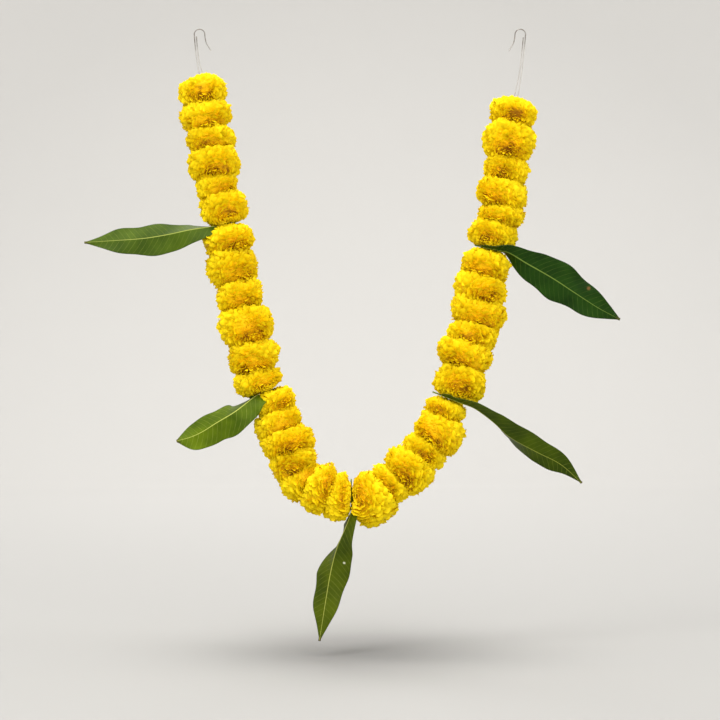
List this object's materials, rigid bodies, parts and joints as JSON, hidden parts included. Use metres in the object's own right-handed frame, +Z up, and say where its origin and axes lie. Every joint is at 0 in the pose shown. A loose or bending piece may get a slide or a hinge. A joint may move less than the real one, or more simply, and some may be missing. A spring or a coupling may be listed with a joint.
{
  "type": "marigold garland",
  "caption": "Garland of ruffled yellow marigold heads threaded in a deep U with mango leaves between them, hanging by a wire hook at each end.",
  "frame": {"origin": "the point under the left hook's crown, on the inside of the bend, where a nail carries it", "axes": "+X towards the right hook, +Y away from the viewer, +Z up; the garland hangs in the XZ plane"},
  "size_m": [0.5899, 0.0668, 0.6733],
  "materials": {
    "marigold_petals": "matte",
    "mango_leaf_fresh": "satin",
    "mango_leaf_olive": "satin",
    "mango_leaf_dark": "satin",
    "cotton_string": "matte",
    "hook_wire": "satin"
  },
  "bodies": {
    "root": {"marigold_left_upper_1": "marigold_petals", "marigold_left_upper_2": "marigold_petals", "marigold_left_upper_3": "marigold_petals", "marigold_left_upper_4": "marigold_petals", "marigold_left_upper_5": "marigold_petals", "marigold_left_upper_6": "marigold_petals", "marigold_left_middle_1": "marigold_petals", "marigold_left_middle_2": "marigold_petals", "marigold_left_middle_3": "marigold_petals", "marigold_left_middle_4": "marigold_petals", "marigold_left_middle_5": "marigold_petals", "marigold_left_middle_6": "marigold_petals", "marigold_left_lower_1": "marigold_petals", "marigold_left_lower_2": "marigold_petals", "marigold_left_lower_3": "marigold_petals", "marigold_left_lower_4": "marigold_petals", "marigold_left_lower_5": "marigold_petals", "marigold_left_lower_6": "marigold_petals", "marigold_left_lower_7": "marigold_petals", "marigold_right_lower_1": "marigold_petals", "marigold_right_lower_2": "marigold_petals", "marigold_right_lower_3": "marigold_petals", "marigold_right_lower_4": "marigold_petals", "marigold_right_lower_5": "marigold_petals", "marigold_right_lower_6": "marigold_petals", "marigold_right_middle_1": "marigold_petals", "marigold_right_middle_2": "marigold_petals", "marigold_right_middle_3": "marigold_petals", "marigold_right_middle_4": "marigold_petals", "marigold_right_middle_5": "marigold_petals", "marigold_right_middle_6": "marigold_petals", "marigold_right_upper_1": "marigold_petals", "marigold_right_upper_2": "marigold_petals", "marigold_right_upper_3": "marigold_petals", "marigold_right_upper_4": "marigold_petals", "marigold_right_upper_5": "marigold_petals", "marigold_right_upper_6": "marigold_petals", "leaf_left_upper": "mango_leaf_fresh", "leaf_left_lower": "mango_leaf_fresh", "leaf_bottom": "mango_leaf_olive", "leaf_right_lower": "mango_leaf_dark", "leaf_right_upper": "mango_leaf_dark", "garland_string": "cotton_string", "left_hook": "hook_wire", "right_hook": "hook_wire"}
  },
  "joints": []
}
